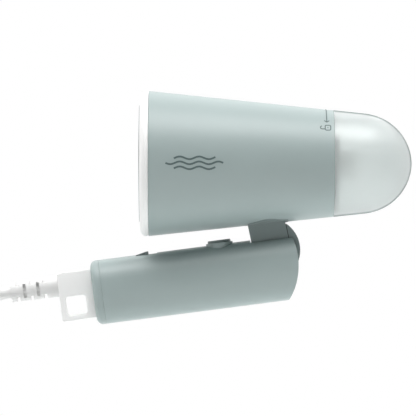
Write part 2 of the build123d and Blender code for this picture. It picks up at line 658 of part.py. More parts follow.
# ---------------------------------------------------------------- hanging loop and strain relief
with BuildPart() as cord_loop:
    extrude(rounded_box(grip_cross(LOOP_FAR_S), 2 * LOOP_HALF_Y, 2 * LOOP_HALF_T, 1.6),
            amount=LOOP_NEAR_S - LOOP_FAR_S)
    # tongue that sits in the end cap
    extrude(rounded_box(grip_cross(LOOP_NEAR_S), TONGUE_WIDE, TONGUE_TALL, 2.0), amount=7.0)
    with BuildSketch(GRIP_SIDE):
        with Locations((LOOP_HOLE_S, LOOP_HOLE_T)):
            RectangleRounded(12.8, 11.6, 2.2)
    extrude(amount=LOOP_HALF_Y + 1, both=True, mode=Mode.SUBTRACT)
    extrude(disc(grip_cross(LOOP_FAR_S - 1, 0, RELIEF_T), CORD_BORE), amount=40.0, mode=Mode.SUBTRACT)
save(cord_loop, "cord_loop")

RELIEF_PITCH = 4.15
with BuildPart() as strain_relief:
    extrude(disc(grip_cross(LOOP_FAR_S, 0, RELIEF_T), RELIEF_R), amount=RELIEF_END_S - LOOP_FAR_S,
            taper=0.8)
    extrude(disc(grip_cross(LOOP_FAR_S, 0, RELIEF_T), CORD_BORE), amount=RELIEF_END_S - LOOP_FAR_S,
            mode=Mode.SUBTRACT)
    for number in range(5):
        # alternate slots: above and below, then left and right
        s = RELIEF_END_S + 3.2 + number * RELIEF_PITCH
        with BuildSketch(grip_cross(s, 0, RELIEF_T)):
            for side in (-1, 1):
                spot = (0, side * 5.0) if number % 2 == 0 else (side * 5.0, 0)
                size = (16.0, 3.6) if number % 2 == 0 else (3.6, 8.4)
                with Locations(spot):
                    Rectangle(*size)
        extrude(amount=1.9, mode=Mode.SUBTRACT)
save(strain_relief, "strain_relief")

with BuildPart() as inner_lead:
    extrude(disc(grip_cross(RELIEF_END_S, 0, RELIEF_T), CORD_R), amount=-36.0 - RELIEF_END_S)
save(inner_lead, "inner_lead")

with BuildPart() as cord_clamp:
    with BuildSketch(grip_cross(-50.0, 0, RELIEF_T)):
        Rectangle(18.0, 10.6)
        Circle(CORD_BORE, mode=Mode.SUBTRACT)
    extrude(amount=6.0)
save(cord_clamp, "cord_clamp")


# ---------------------------------------------------------------- cord, coil and plug
def corner_radii(points):
    """Largest tangent arc at each corner: 0.45 of the shorter run over the tangent of half the turn."""
    radii = []
    for before, here, after in zip(points, points[1:], points[2:]):
        first, second = Vector(*here) - Vector(*before), Vector(*after) - Vector(*here)
        turn = first.get_angle(second)
        radii.append(0.45 * min(first.length, second.length) / tan(radians(turn) / 2))
    return radii


def cord_tube(name, points, start_plane):
    radii = corner_radii(points)
    print(name, "radii", [round(r, 1) for r in radii])
    with BuildPart() as tube:
        with BuildLine():
            path = FilletPolyline(*points, radius=radii)
        with BuildSketch(start_plane):
            Circle(CORD_R)
        sweep(path=path)
    expected = pi * CORD_R ** 2 * path.length
    print(name, "length", round(path.length, 1), "volume ratio", round(tube.part.volume / expected, 4))
    return tube


LIE_Z = FLOOR_Z + TIE_T + CORD_R
exit_point = U * RELIEF_END_S + V * RELIEF_T
ENTRY_R = COIL_R + 1.5 * 2 * CORD_R
SUPPLY_ROUTE = [
    (exit_point.X, exit_point.Y, exit_point.Z),
    (-135.4, 0.0, -10.7),
    (-157.0, -3.0, -26.4),
    (-168.6, -9.0, -50.0),
    (-165.6, -15.0, -76.4),
    (-148.0, -22.0, -98.6),
    (-122.0, COIL_Y - ENTRY_R + 1.5, LIE_Z),
    (COIL_X, COIL_Y - ENTRY_R, LIE_Z),
]
supply_cord = cord_tube("supply_cord", SUPPLY_ROUTE, Plane(origin=exit_point, x_dir=(0, 1, 0), z_dir=-U))
save(supply_cord, "supply_cord")

COIL_HALF = COIL_WIDE * CORD_R
COIL_HIGH = 2 * CORD_R * (1 + NEST * (COIL_TALL - 1))
COIL_AXIS = Axis((COIL_X, COIL_Y, 0), (0, 0, 1))
with BuildPart() as cord_coil:
    with BuildSketch(Plane(origin=(COIL_X, COIL_Y, 0), x_dir=(0, 1, 0), z_dir=(1, 0, 0))):
        with BuildLine():
            low, high = FLOOR_Z + TIE_T, FLOOR_Z + TIE_T + COIL_HIGH
            Polyline((COIL_R - COIL_HALF, low), (COIL_R + COIL_HALF, low),
                     (COIL_R + COIL_HALF, low + 2 * CORD_R),
                     (COIL_R + COIL_HALF - CORD_R, high), (COIL_R - COIL_HALF + CORD_R, high),
                     (COIL_R - COIL_HALF, low + 2 * CORD_R), close=True)
        make_face()
    revolve(axis=COIL_AXIS)
save(cord_coil, "cord_coil")

with BuildPart() as cord_tie:
    with BuildSketch(Plane(origin=(COIL_X - 5.0, COIL_Y, 0), x_dir=(0, 1, 0), z_dir=(1, 0, 0))):
        with Locations((COIL_R, FLOOR_Z + TIE_T + COIL_HIGH / 2)):
            RectangleRounded(2 * COIL_HALF + 4.0, COIL_HIGH + 2 * TIE_T, 2.5)
            Rectangle(2 * COIL_HALF + 2.0, COIL_HIGH, mode=Mode.SUBTRACT)
    extrude(amount=10.0)
save(cord_tie, "cord_tie")

LEAVE_R = COIL_R + 2 * CORD_R
LEAVE_Z = LIE_Z + NEST * 2 * CORD_R
PLUG_Z = FLOOR_Z + PLUG_HALF_Z
PLUG_Y = COIL_Y - LEAVE_R - 5.0
PLUG_RUN = 62.0               # from the coil to the plug's own relief
PLUG_X = COIL_X + PLUG_RUN
LEAD_ROUTE = [
    (COIL_X, COIL_Y - LEAVE_R, LEAVE_Z),
    (COIL_X + PLUG_RUN / 3, COIL_Y - LEAVE_R - 1.6, LEAVE_Z + 0.3),
    (COIL_X + PLUG_RUN * 2 / 3, PLUG_Y, PLUG_Z),
    (PLUG_X, PLUG_Y, PLUG_Z),
]
lead_start = Vector(*LEAD_ROUTE[0])
lead_dir = (Vector(*LEAD_ROUTE[1]) - lead_start).normalized()
cord_lead = cord_tube("cord_lead", LEAD_ROUTE, Plane(origin=lead_start, x_dir=(0, 0, 1), z_dir=lead_dir))
save(cord_lead, "cord_lead")


def plug_cross(x, y=0.0):
    return Plane(origin=(x, PLUG_Y + y, PLUG_Z), x_dir=(0, 1, 0), z_dir=(1, 0, 0))


with BuildPart() as plug_relief:
    with BuildSketch(plug_cross(PLUG_X)):
        Circle(4.6)
    with BuildSketch(plug_cross(PLUG_X + 24.0)):
        Circle(6.6)
    loft()
save(plug_relief, "plug_relief")

PLUG_A, PLUG_B = PLUG_X + 24.0, PLUG_X + 56.0
with BuildPart() as plug_body:
    with BuildSketch(plug_cross(PLUG_A)):
        RectangleRounded(20.0, 18.0, 6.0)
    with BuildSketch(plug_cross(PLUG_A + 18.0)):
        RectangleRounded(33.0, 25.0, 8.0)
    loft()
    with BuildSketch(plug_cross(PLUG_A + 18.0)):
        RectangleRounded(35.4, 2 * PLUG_HALF_Z, 9.0)
    extrude(amount=PLUG_B - PLUG_A - 18.0)
save(plug_body, "plug_body")

with BuildPart() as plug_pins:
    with BuildSketch(plug_cross(PLUG_B)):
        with GridLocations(PLUG_PITCH, 0, 2, 1):
            Circle(PLUG_PIN_R)
    extrude(amount=PLUG_PIN_LONG)
    chamfer(plug_pins.faces().sort_by(Axis.X)[-2:].edges(), length=0.8)
save(plug_pins, "plug_pins")
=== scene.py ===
"""Folding travel garment steamer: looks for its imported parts, laid out as a Blender add-on."""
import json
from math import cos, pi, radians, sin, sqrt, tan

import bmesh
import bpy
import numpy as np
from bpy.props import FloatProperty, FloatVectorProperty, PointerProperty
from bpy.types import NodeSocket, Operator, Panel, PropertyGroup
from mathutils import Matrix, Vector


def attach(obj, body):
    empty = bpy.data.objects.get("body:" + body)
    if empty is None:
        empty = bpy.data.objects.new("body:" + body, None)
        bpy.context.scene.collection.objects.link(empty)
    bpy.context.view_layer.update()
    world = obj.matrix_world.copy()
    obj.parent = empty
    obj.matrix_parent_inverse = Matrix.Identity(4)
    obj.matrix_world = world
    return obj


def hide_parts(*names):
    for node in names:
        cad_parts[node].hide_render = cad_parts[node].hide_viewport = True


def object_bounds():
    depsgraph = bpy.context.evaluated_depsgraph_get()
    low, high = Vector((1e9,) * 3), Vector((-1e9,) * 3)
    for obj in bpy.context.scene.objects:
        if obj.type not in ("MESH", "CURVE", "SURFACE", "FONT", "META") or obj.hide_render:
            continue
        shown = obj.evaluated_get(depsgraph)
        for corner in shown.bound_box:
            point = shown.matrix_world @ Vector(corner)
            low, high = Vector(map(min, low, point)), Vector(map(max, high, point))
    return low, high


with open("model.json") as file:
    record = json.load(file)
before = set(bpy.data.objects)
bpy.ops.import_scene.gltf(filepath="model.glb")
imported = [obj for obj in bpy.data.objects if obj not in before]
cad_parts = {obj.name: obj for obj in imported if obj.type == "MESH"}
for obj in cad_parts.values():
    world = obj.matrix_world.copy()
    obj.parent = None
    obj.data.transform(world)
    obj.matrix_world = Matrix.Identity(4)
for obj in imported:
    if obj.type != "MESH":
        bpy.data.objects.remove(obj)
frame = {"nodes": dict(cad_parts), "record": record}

bpy.context.view_layer.update()
CAD_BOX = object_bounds()

bl_info = {
    "name": "Folding Garment Steamer",
    "version": (1, 0, 0),
    "blender": (4, 5, 0),
    "location": "3D View > Sidebar > Steamer",
    "description": "Builds the cord, plug, trims, marks and finishes of a folding travel steamer",
    "category": "Object",
}

# ---------------------------------------------------------------- measures, in millimetres
MM = 0.001
HEAD_Z = 71.0                 # height of the head's axis
BEZEL_X = -32.8               # front of the white bezel
BEZEL_FACE_R, BEZEL_BORE_R = 39.5, 38.8
SEAM_X = -27.4                # bezel to housing
TANK_X = 85.0                 # housing to tank
TIP_X = 132.7
FRONT_R = 44.3
TAPER = 0.105                 # radius lost per millimetre along the head
BEND_X = 104.0                # where the tank's taper turns into its dome
DOME_POWER = 1.9
TANK_WALL = 1.8
TILT = radians(7.4)           # slope of the handle
NECK_LEAN = radians(12.0)     # slope of the neck's outward direction
PIVOT_S, PIVOT_T = 47.1, 12.3             # hinge pin, along and above the handle's axis
SADDLE_X, SADDLE_FAR_X, SADDLE_TAPER = 33.4, 57.4, 0.6
RIB_IN, RIB_OUT, RIB_HALF, RIB_LONG = 13.5, 14.1, 8.5, 13.2
GRIP_R, SIDE_ARC, CORNER_ARC = 19.6, 32.0, 15.0
CAP_S, CAP_END_S, CAP_ROUND = -56.3, -61.6, 3.6
LOOP_NEAR_S, LOOP_FAR_S = -61.0, -82.4
LOOP_HALF_T, LOOP_HALF_Y = 14.9, 9.0
LOOP_HOLE = (-72.9, -5.9, 6.4, 5.8)       # centre along and up, half sizes
TRIGGER_S, TRIGGER_LONG, TRIGGER_WIDE, TRIGGER_TOP = 18.2, 7.0, 9.9, 22.2
ARROW_X, ARROW_TAIL, ARROW_TIP, ARROW_BARB = 80.4, 104, 48.7, 1.5     # tail and tip in degrees round the cone
LOCK_X, LOCK_AT, BOW_X, BOW_R = 81.0, 40.6, 77.6, 1.15
WAVE_RISE, WAVE_LONG, WAVE_GAP = 0.8, 11.6, 3.0
RELIEF_T, RELIEF_END_S = 6.8, -111.4
CORD_R = 3.65
COIL_X, COIL_Y, LIE_Z = -100.0, 12.0, -110.35
LAYER = 0.87 * 2 * CORD_R     # rise of a turn that lies in the groove between two others
COIL_RADII = (50.95, 43.65, 36.35, 29.05, 32.7, 40.0, 47.3, 47.3)     # turn by turn, the last twice
PLUG_X, PLUG_Y, PLUG_Z = -38.0, -40.3, -102.0
DRIFT = 0.03                  # metres over which a surface's colour drifts
ALONG = np.array((cos(TILT), 0.0, sin(TILT)))
ABOVE = np.array((-sin(TILT), 0.0, cos(TILT)))
ACROSS = np.array((0.0, 1.0, 0.0))


def linear(code):
    """sRGB hex colour to linear red, green and blue."""
    c = np.array([int(code[i:i + 2], 16) for i in (1, 3, 5)]) / 255
    return tuple(np.where(c <= 0.04045, c / 12.92, ((c + 0.055) / 1.055) ** 2.4))


# ---------------------------------------------------------------- settings a user may change
class SteamerSizes(PropertyGroup):
    cord_width: FloatProperty(name="Cord width", description="Diameter of the mains lead",
                              default=2 * CORD_R * MM, min=0.004, max=0.01, unit="LENGTH")
    bezel_lip: FloatProperty(name="Bezel rounding", description="Depth of the bezel's rounded edge",
                             default=0.0036, min=0.001, max=0.005, unit="LENGTH")
    mark_line: FloatProperty(name="Mark line", description="Line width of the printed marks",
                             default=0.0007, min=0.0002, max=0.001, unit="LENGTH")
    # a real moulded grain is about 0.25 mm; it is drawn coarser than real so that it shows at all
    grain: FloatProperty(name="Plastic grain", description="Size of the moulded grain",
                         default=0.0009, min=0.0003, max=0.003, unit="LENGTH")


class SteamerColours(PropertyGroup):
    body: FloatVectorProperty(name="Body", description="Sage grey housing and handle", subtype="COLOR",
                              default=linear("#A2B0AF"), min=0, max=1)
    white: FloatVectorProperty(name="White trims", description="Bezel, hanging loop and plug",
                               subtype="COLOR", default=linear("#F8F8F7"), min=0, max=1)
    tank: FloatVectorProperty(name="Tank", description="Clear water tank", subtype="COLOR",
                              default=linear("#F7FCFB"), min=0, max=1)
    ink: FloatVectorProperty(name="Ink", description="Printed marks", subtype="COLOR",
                             default=linear("#5A6B6A"), min=0, max=1)


# ---------------------------------------------------------------- numpy surfaces
def quads_of(rows, columns, loop_rows=False):
    """Faces of a grid whose columns close on themselves: each joins a point to the next one in both ways;
    loop_rows joins the last row to the first."""
    index = np.arange(rows * columns).reshape(rows, columns)
    if loop_rows:
        index = np.vstack([index, index[:1]])
    index = np.hstack([index, index[:, :1]])
    quads = np.stack([index[:-1, :-1], index[1:, :-1], index[1:, 1:], index[:-1, 1:]], -1)
    return quads.reshape(-1, 4).tolist()


def lattice(name, grid, body, finish, loop_u=False, caps=False, sharp=35):
    """Mesh over a grid of points (rows u, columns v, in millimetres); loop_u joins the last row to the first
    and caps close the first and last rows."""
    nu, nv = grid.shape[:2]
    faces = quads_of(nu, nv, loop_u)
    if caps:
        faces += [list(range(nv)), list(range((nu - 1) * nv, nu * nv))]
    mesh = bpy.data.meshes.new(name)
    mesh.from_pydata((grid.reshape(-1, 3) * MM).tolist(), [], faces)
    return settle(name, mesh, body, finish, sharp)


def settle(name, mesh, body, finish, sharp=35):
    """Closes seams and poles, turns faces outwards, smooths all but sharp edges, rides on its body."""
    work = bmesh.new()
    work.from_mesh(mesh)
    bmesh.ops.remove_doubles(work, verts=work.verts, dist=1e-7)
    bmesh.ops.dissolve_degenerate(work, edges=work.edges, dist=1e-8)
    bmesh.ops.recalc_face_normals(work, faces=work.faces)
    work.to_mesh(mesh)
    work.free()
    mesh.shade_smooth()
    mesh.set_sharp_from_angle(angle=radians(sharp))
    mesh.materials.append(finish)
    piece = bpy.data.objects.new(name, mesh)
    bpy.context.scene.collection.objects.link(piece)
    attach(piece, body)
    return piece


def rounded(points, radii, steps=6):
    """Closed outline with its corners rounded: each corner becomes an arc tangent to its two sides, centred
    where both sides are one radius away, sampled at equal angles."""
    points = np.array(points, float)
    out = []
    for before, here, after, r in zip(np.roll(points, 1, 0), points, np.roll(points, -1, 0), radii):
        if r == 0:
            out.append(here[None])
            continue
        a = (before - here) / np.linalg.norm(before - here)
        b = (after - here) / np.linalg.norm(after - here)
        half = np.arccos(np.clip(a @ b, -1, 1)) / 2
        centre = here + (a + b) / np.linalg.norm(a + b) * r / sin(half)
        first, last = here + a * r / tan(half) - centre, here + b * r / tan(half) - centre
        turn = np.linspace(0, 1, steps + 1)[:, None]
        angle = pi - 2 * half
        out.append(centre + (first * np.sin((1 - turn) * angle) + last * np.sin(turn * angle)) / sin(angle))
    return np.vstack(out)


def turned(outline, steps=180):
    """Surface of revolution about the head's axis: each (x, r) of the outline goes round as
    (x, -r cos a, axis height + r sin a)."""
    a = np.linspace(0, 2 * pi, steps, endpoint=False)
    x, r = outline[:, :1], outline[:, 1:]
    return np.stack([x + 0 * a, -r * np.cos(a), HEAD_Z + r * np.sin(a)], -1)


def head_r(x):
    """Radius of the head's cone at x."""
    return FRONT_R - TAPER * (x - SEAM_X)


def smooth(t):
    """0 below t = 0, 1 above t = 1 and 3t^2 - 2t^3 between."""
    t = np.clip(t, 0, 1)
    return t ** 2 * (3 - 2 * t)


def squircle(inset, steps=30):
    """Handle section (across, up): the distance from its centre to four side arcs and four corner arcs,
    each the far root of a ray with its circle, shrunk by inset."""
    a = np.linspace(0, 2 * pi, 8 * steps, endpoint=False)
    side = (a + pi / 4) % (pi / 2) - pi / 4
    corner = a % (pi / 2) - pi / 4
    low = GRIP_R - SIDE_ARC
    gap = SIDE_ARC - CORNER_ARC
    far = (low + sqrt(2 * gap ** 2 - low ** 2)) / sqrt(2)
    big, small = SIDE_ARC - inset, CORNER_ARC - inset
    to_side = low * np.cos(side) + np.sqrt(big ** 2 - (low * np.sin(side)) ** 2)
    to_corner = far * np.cos(corner) + np.sqrt(np.maximum(small ** 2 - (far * np.sin(corner)) ** 2, 0))
    edge = np.arctan2(SIDE_ARC * far / sqrt(2) / gap, low + SIDE_ARC * sqrt(1 - (far / sqrt(2) / gap) ** 2))
    r = np.where(np.abs(side) < edge, to_side, to_corner)
    return np.stack([r * np.cos(a), r * np.sin(a)], -1)


def on_grip(s, y, t):
    """Points s along, y across and t above the handle's axis."""
    s, y, t = np.broadcast_arrays(s, y, t)
    return s[..., None] * ALONG + y[..., None] * ACROSS + t[..., None] * ABOVE


def ribbon(line, width, closed=False, high=0.08, low=-0.1):
    """Flat line laid on the head's cone. The line is (x, arc) in millimetres, arc measured round from the
    -Y side; its edges lie half a width to each side of it, and it is high - low thick."""
    step = np.roll(line, -1, 0) - np.roll(line, 1, 0) if closed else np.gradient(line, axis=0)
    side = np.stack([-step[:, 1], step[:, 0]], -1) / np.linalg.norm(step, axis=1)[:, None] * width / 2
    edge = np.stack([line + side, line - side, line - side, line + side], 1)
    r = head_r(edge[..., 0]) + np.array([low, low, high, high])
    a = edge[..., 1] / head_r(edge[..., 0])
    return np.stack([edge[..., 0], -r * np.cos(a), HEAD_Z + r * np.sin(a)], -1)


def pierced(outer, hole, half, edge, place, steps=5):
    """Plate with a hole, both given as box_outline numbers. Its section runs round as a closed path: out over
    the outer edge, across the face, down the hole and back, with quarter-round edges of radius edge."""
    a = np.linspace(0, pi / 2, steps)
    inset, level = edge * (1 - np.cos(a)), half - edge + edge * np.sin(a)
    rows = [(outer, -i, y) for i, y in zip(inset, level)]
    rows += [(hole, i, y) for i, y in zip(inset[::-1], level[::-1])]
    rows += [(which, grow, -y) for which, grow, y in rows[::-1]]
    grid = []
    for (cx, cy, hx, hy, r), grow, y in rows:
        line = box_outline(cx, cy, hx + grow, hy + grow, max(r + grow, 0.3))
        grid.append(np.hstack([line, np.full((len(line), 1), y)]))
    return place(np.array(grid))


def box_outline(cx, cy, hx, hy, r, steps=6):
    """Rectangle with rounded corners as one closed outline."""
    corners = [(cx + hx, cy - hy), (cx + hx, cy + hy), (cx - hx, cy + hy), (cx - hx, cy - hy)]
    return rounded(corners, [r] * 4, steps)


# ---------------------------------------------------------------- finishes
def add(tree, kind, sockets=(), **settings):
    """Adds a node with its settings; sockets maps an input to a value or to the output that feeds it."""
    node = tree.nodes.new(kind)
    for key, value in settings.items():
        setattr(node, key, value)
    for key, value in dict(sockets).items():
        if isinstance(value, NodeSocket):
            tree.links.new(value, node.inputs[key])
        else:
            node.inputs[key].default_value = value
    return node


def finish_of(name, colour, roughness, grain=0.0009, bump=0.05, tone=0.03, spread=0.06, stretch=(1, 1, 1),
              rim=None, **shader):
    """A surface whose colour and roughness drift a little over centimetres, with a fine grain as bump; rim is
    a dark colour mixed in by viewing angle where a see-through wall is seen edge on: painted shade standing
    in for the darkening that refraction in a thick clear wall gives there."""
    mat = bpy.data.materials.new(name)
    mat.use_nodes = True
    tree = mat.node_tree
    tree.nodes.clear()
    place = add(tree, "ShaderNodeTexCoord").outputs["Object"]
    run = add(tree, "ShaderNodeMapping", {"Vector": place, "Scale": stretch}).outputs["Vector"]
    drift = add(tree, "ShaderNodeTexNoise", {"Vector": place, "Scale": 1 / DRIFT,
                                             "Detail": 3.0}).outputs["Fac"]
    fine = add(tree, "ShaderNodeTexNoise", {"Vector": run, "Scale": 1 / grain, "Detail": 2.0}).outputs["Fac"]
    dark = tuple(c * (1 - tone) for c in colour) + (1.0,)
    light = tuple(min(c * (1 + tone), 1) for c in colour) + (1.0,)
    shade = add(tree, "ShaderNodeMix", {0: drift, 6: dark, 7: light}, data_type="RGBA").outputs[2]
    rough = add(tree, "ShaderNodeMapRange", {"Value": fine, "To Min": roughness - spread,
                                             "To Max": roughness + spread}).outputs["Result"]
    relief = add(tree, "ShaderNodeBump", {"Height": fine, "Strength": bump, "Distance": grain / 2})
    sockets = {"Base Color": shade, "Roughness": rough, "Normal": relief.outputs["Normal"]}
    sockets.update({key.replace("_", " "): value for key, value in shader.items()})
    surface = add(tree, "ShaderNodeBsdfPrincipled", sockets).outputs["BSDF"]
    # painted shade: toward a grazing view the surface turns into a dark diffuse of the rim colour, drawn in
    # place of refraction in the wall
    if rim:
        facing = add(tree, "ShaderNodeLayerWeight", {"Blend": 0.5}).outputs["Facing"]
        edge = add(tree, "ShaderNodeMapRange", {"Value": facing, "From Min": 0.7, "From Max": 0.9,
                                                "To Max": 0.75},
                   interpolation_type="SMOOTHSTEP").outputs["Result"]
        wall = add(tree, "ShaderNodeBsdfDiffuse", {"Color": (*rim, 1.0)}).outputs["BSDF"]
        surface = add(tree, "ShaderNodeMixShader", {0: edge, 1: surface, 2: wall}).outputs["Shader"]
    add(tree, "ShaderNodeOutputMaterial", {"Surface": surface})
    return mat


def make_finishes():
    """One material for each slot of the record, named for the real one."""
    colours, grain = bpy.context.scene.steamer_colours, bpy.context.scene.steamer_sizes.grain
    body, white = tuple(colours.body), tuple(colours.white)
    return {
        # Moulded ABS with a fine spark-eroded texture: a soft, wide highlight
        "sage_plastic": finish_of("ABS_sage_satin", body, 0.42, grain, 0.06, IOR=1.53),
        # The body's sage, deeper and a little duller: painted shade for the working parts that sit in the
        # shade between head and handle
        "deep_sage_plastic": finish_of("sage_painted_shade", linear("#818D8C"), 0.45, grain, 0.08, IOR=1.53),
        # Moulded polypropylene from a polished tool: brighter and tighter highlight
        "white_plastic": finish_of("polypropylene_white", white, 0.4, grain, 0.03, IOR=1.49),
        # Glass-filled nylon: dull and slightly mottled by its fibres
        "dark_plastic": finish_of("nylon_black", linear("#2B2F2F"), 0.55, grain, 0.1, IOR=1.53),
        # Polycarbonate tank, milky rather than clear, with a dark rim painted in by viewing angle where one
        # looks along its wall: painted shade in place of refraction
        "clear_tank": finish_of("polycarbonate_milky_painted_rim", tuple(colours.tank), 0.3, grain * 4, 0.01,
                                spread=0.02, rim=linear("#5F6F6E"), IOR=1.5, Transmission_Weight=0.75),
        # Hard-anodised plate, brushed up and down: long streaks along Z
        "hard_plate": finish_of("aluminium_brushed", linear("#B9BBBC"), 0.34, 0.0006, 0.12, spread=0.12,
                                stretch=(1, 1, 0.04), Metallic=1.0),
        # Die-cast aluminium: coarse grey skin
        "cast_aluminium": finish_of("aluminium_cast", linear("#A3A4A4"), 0.55, 0.0015, 0.25, 0.08,
                                    Metallic=1.0),
        # Zinc-plated steel: cool grey, a dulled mirror
        "steel": finish_of("steel_zinc_plated", linear("#B4B5B7"), 0.33, 0.0012, 0.08, 0.06, Metallic=1.0),
        # Moulded silicone rubber: even and matt
        "silicone": finish_of("silicone_grey", linear("#7F8786"), 0.6, grain, 0.05, IOR=1.43),
        # Solder mask on a glass-epoxy board: dark green and glossy
        "board": finish_of("solder_mask_green", linear("#1F5E3A"), 0.35, 0.002, 0.05, 0.1, IOR=1.5),
        # Extruded PVC of lead and relief: soft sheen, nearly smooth, a little greyer than the trims
        "cord_sheath": finish_of("PVC_white_sheath", linear("#E2E2E1"), 0.45, 0.0016, 0.01, IOR=1.54),
        # Nickel-plated brass: pins with a warm, sharp reflection
        "plated_brass": finish_of("brass_nickel_plated", linear("#D2CFC8"), 0.18, 0.0012, 0.04,
                                  Metallic=1.0),
        # Pad-printed ink: flat dark lines, duller than the body
        "ink": finish_of("ink_pad_printed", tuple(colours.ink), 0.5, 0.0006, 0.03, IOR=1.5),
    }


FINISH = {}


class STEAMER_OT_finishes(Operator):
    """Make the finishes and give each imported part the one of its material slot"""
    bl_idname = "steamer.finishes"
    bl_label = "Finishes"

    def execute(self, context):
        FINISH.update(make_finishes())
        for row in frame["record"]["subparts"]:
            part = frame["nodes"][row["node"]]
            for place in part.material_slots:
                place.material = FINISH[row["material_slot"]]
        # these two show the finish of the trigger and of the lead; the slider's darker sage is painted shade
        frame["nodes"]["power_slider"].material_slots[0].material = FINISH["deep_sage_plastic"]
        frame["nodes"]["strain_relief"].material_slots[0].material = FINISH["cord_sheath"]
        return {"FINISHED"}


# ---------------------------------------------------------------- cord and plug
def coil_points():
    """Seven turns, 16 points each, counter-clockwise from the front. Four circles lie side by side from the
    outside in, and three lie in the grooves on top from the inside out. Over the last fifth of a turn the
    radius moves to the next one by a smooth step; the climb to the upper layer ends 0.3 turns before the
    fourth turn does, and in the upper layer half a sine lifts the lead where it changes its groove."""
    turn = np.arange(1, 7 * 16 + 1) / 16
    number = np.minimum(turn.astype(int), 6)
    number = np.where(turn == turn.astype(int), np.maximum(turn.astype(int) - 1, 0), number)
    part = turn - number
    reach = np.array(COIL_RADII)
    r = reach[number] + (reach[number + 1] - reach[number]) * smooth((part - 0.8) / 0.2)
    rise = smooth((turn - 3.3) / 0.4)
    hump = np.where(turn > 3.6, np.sin(pi * np.clip((part - 0.7) / 0.3, 0, 1)) * 1.1, 0) * (turn < 6.6)
    a = 2 * pi * turn - pi / 2
    swell = 1.0065                # the curve runs inside its control points by this much
    return np.stack([COIL_X + swell * r * np.cos(a), COIL_Y + swell * r * np.sin(a),
                     LIE_Z + LAYER * rise + hump], -1)


def cord_points():
    """The lead's way: out of the relief, down to the surface, round the coil, and up to the plug."""
    down = [ALONG * RELIEF_END_S + ABOVE * RELIEF_T, (-135.4, 0, -10.7), (-157, -3, -26.4), (-168.6, -9, -50),
            (-165.6, -15, -76.4), (-148, -22, -98.6), (-122, COIL_Y - 49.45, LIE_Z),
            (COIL_X, COIL_Y - 50.95, LIE_Z)]
    up = [(COIL_X + 20.67, COIL_Y - 48.9, LIE_Z + LAYER + 0.3), (COIL_X + 41.33, PLUG_Y, PLUG_Z),
          (PLUG_X, PLUG_Y, PLUG_Z)]
    return np.vstack([np.array(down, float), coil_points(), np.array(up, float)])


class STEAMER_OT_cord(Operator):
    """Lay the mains lead: down from the relief, seven tied turns and on to the plug"""
    bl_idname = "steamer.cord"
    bl_label = "Mains lead"

    def execute(self, context):
        curve = bpy.data.curves.new("mains_lead", "CURVE")
        curve.dimensions = "3D"
        curve.bevel_depth = context.scene.steamer_sizes.cord_width / 2
        curve.bevel_resolution = 7
        curve.resolution_u = 6
        curve.use_fill_caps = True
        spline = curve.splines.new("NURBS")
        points = cord_points() * MM
        spline.points.add(len(points) - 1)
        spline.points.foreach_set("co", np.hstack([points, np.ones((len(points), 1))]).ravel())
        spline.order_u = 3
        spline.use_endpoint_u = True
        curve.materials.append(FINISH["cord_sheath"])
        lead = bpy.data.objects.new("mains_lead", curve)
        context.scene.collection.objects.link(lead)
        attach(lead, "handle")
        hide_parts("supply_cord", "cord_coil", "cord_lead")
        return {"FINISHED"}


class STEAMER_OT_plug(Operator):
    """Mould the plug: one body that swells from the cord's relief to the two pins, with grip ribs"""
    bl_idname = "steamer.plug"
    bl_label = "Plug"

    def execute(self, context):
        # each row is a superellipse |y/w|^p + |z/h|^p = 1 whose half sizes grow along the plug
        x = np.array([0, 1.2, 6, 7, 8, 11, 12, 13, 16, 17, 18, 21, 24, 28, 32, 36, 39, 40.4, 41.6, 43,
                      44.4, 45.6, 47, 48.4, 49.6, 51, 53, 54.6, 55.6, 56, 56])
        w = np.interp(x, [0, 1.2, 24, 30, 40, 53, 55, 56], [4.0, 4.6, 6.6, 12.2, 17.6, 17.7, 17.2, 16.2])
        h = np.interp(x, [0, 1.2, 24, 30, 40, 53, 55, 56], [4.0, 4.6, 6.6, 9.4, 12.8, 13.0, 12.6, 11.8])
        p = np.interp(x, [0, 22, 34, 56], [2.0, 2.0, 2.7, 3.0])
        groove = np.isin(x, [7, 12, 17]) * 0.7 + np.isin(x, [41.6, 45.6, 49.6]) * 0.8
        shrink = np.r_[np.zeros(len(x) - 1), 1.0]
        w, h = (w - groove) * (1 - shrink), (h - groove) * (1 - shrink)
        a = np.linspace(0, 2 * pi, 96, endpoint=False)
        c, s = np.cos(a), np.sin(a)
        y = w[:, None] * np.sign(c) * np.abs(c) ** (2 / p[:, None])
        z = h[:, None] * np.sign(s) * np.abs(s) ** (2 / p[:, None])
        grid = np.stack([PLUG_X + x[:, None] + 0 * a, PLUG_Y + y, PLUG_Z + z], -1)
        plug = lattice("plug_grip", grid, "handle", FINISH["white_plastic"], sharp=50)
        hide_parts("plug_body", "plug_relief")
        return {"FINISHED"}


class STEAMER_OT_tie(Operator):
    """Wrap the strap that holds the coil together"""
    bl_idname = "steamer.tie"
    bl_label = "Cord tie"

    def execute(self, context):
        low, high = LIE_Z - CORD_R, LIE_Z + LAYER + CORD_R
        middle, tall, wide = (low + high) / 2, (high - low) / 2, 4 * CORD_R
        grid = pierced((COIL_Y + 40.0, middle, wide + 1.9, tall + 1.0, 4.4),
                       (COIL_Y + 40.0, middle, wide + 0.9, tall + 0.05, 3.4), 5.0, 0.35,
                       lambda g: np.stack([COIL_X + g[..., 2], g[..., 0], g[..., 1]], -1))
        tie = lattice("coil_strap", grid, "handle", FINISH["silicone"], loop_u=True, sharp=50)
        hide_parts("cord_tie")
        return {"FINISHED"}


